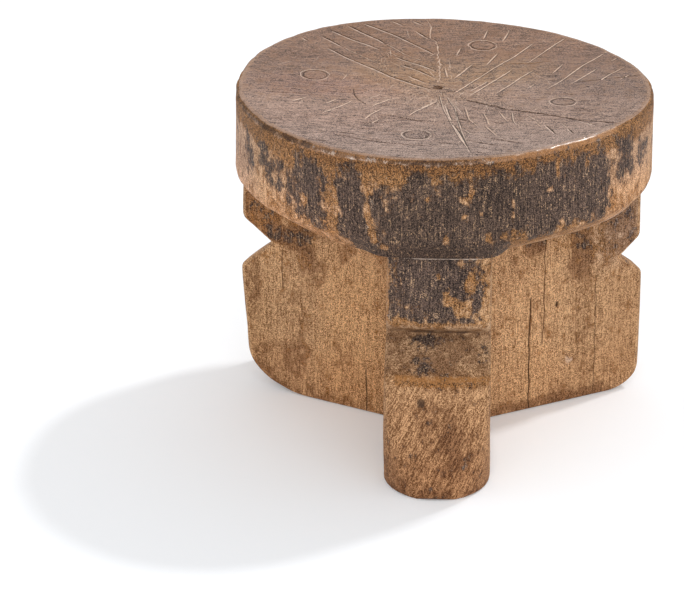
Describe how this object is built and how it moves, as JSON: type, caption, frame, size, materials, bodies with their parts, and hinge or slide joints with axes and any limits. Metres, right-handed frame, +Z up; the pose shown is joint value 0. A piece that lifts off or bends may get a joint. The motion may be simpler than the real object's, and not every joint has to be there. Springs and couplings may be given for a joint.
{
  "type": "three-legged stool",
  "caption": "Low hand-hewn wooden stool: a thick round dished seat, scored on top and chamfered below, on broad radial legs with notched outer edges and rounded toes.",
  "frame": {"origin": "on the floor, under the middle of the stool's bounding box", "axes": "+Z up from the floor through the seat; the front leg points along -Y; +X to the right seen from the front"},
  "size_m": [0.2981, 0.3154, 0.247],
  "materials": {
    "seat_wood": "worn dark patina, rubbed satin on top",
    "leg_wood": "dry tan wood with dark worn patina"
  },
  "bodies": {
    "root": {"seat": "seat_wood", "leg_front": "leg_wood", "leg_rear_right": "leg_wood", "leg_rear_left": "leg_wood"}
  },
  "joints": []
}
